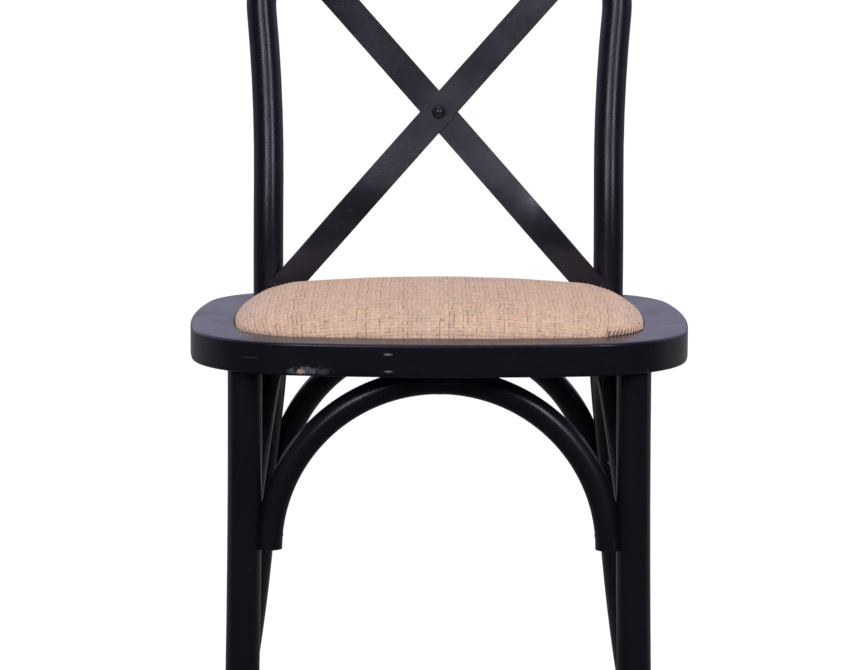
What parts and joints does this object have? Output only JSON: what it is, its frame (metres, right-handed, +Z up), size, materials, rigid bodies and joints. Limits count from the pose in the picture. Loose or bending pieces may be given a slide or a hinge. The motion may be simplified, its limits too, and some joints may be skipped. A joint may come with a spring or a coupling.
{
  "type": "cross back dining chair",
  "caption": "Bentwood dining chair with a hooped back, crossed flat metal straps, arched braces and a woven rattan seat.",
  "frame": {"origin": "on the floor, under the middle of the chair's overall width and depth", "axes": "+X to the right seen from the front, +Y to the back, +Z up"},
  "size_m": [0.498, 0.488, 0.88],
  "materials": {
    "black_lacquered_wood": "satin black lacquer",
    "plywood": "bare",
    "padding": "foam under a woven cover",
    "woven_rattan": "natural, matt, close woven",
    "black_painted_steel": "satin black paint",
    "zinc_steel": "zinc plated",
    "glide_plastic": "matt"
  },
  "bodies": {
    "root": {"back_hoop": "black_lacquered_wood", "front_leg_left": "black_lacquered_wood", "front_leg_right": "black_lacquered_wood", "seat_ring": "black_lacquered_wood", "front_arch": "black_lacquered_wood", "rear_arch": "black_lacquered_wood", "side_arch_left": "black_lacquered_wood", "side_arch_right": "black_lacquered_wood", "seat_board": "plywood", "pad_core": "padding", "rattan_cover": "woven_rattan", "cross_slat_front": "black_painted_steel", "cross_slat_rear": "black_painted_steel", "cross_rivet": "black_painted_steel", "rivet_washer": "zinc_steel", "slat_screws": "zinc_steel", "rear_leg_bolts": "zinc_steel", "rear_leg_washers": "zinc_steel", "rear_leg_inserts": "zinc_steel", "arch_seat_screws": "zinc_steel", "arch_leg_screws": "zinc_steel", "seat_board_screws": "zinc_steel", "glide_nails": "zinc_steel", "foot_glides": "glide_plastic"}
  },
  "joints": []
}
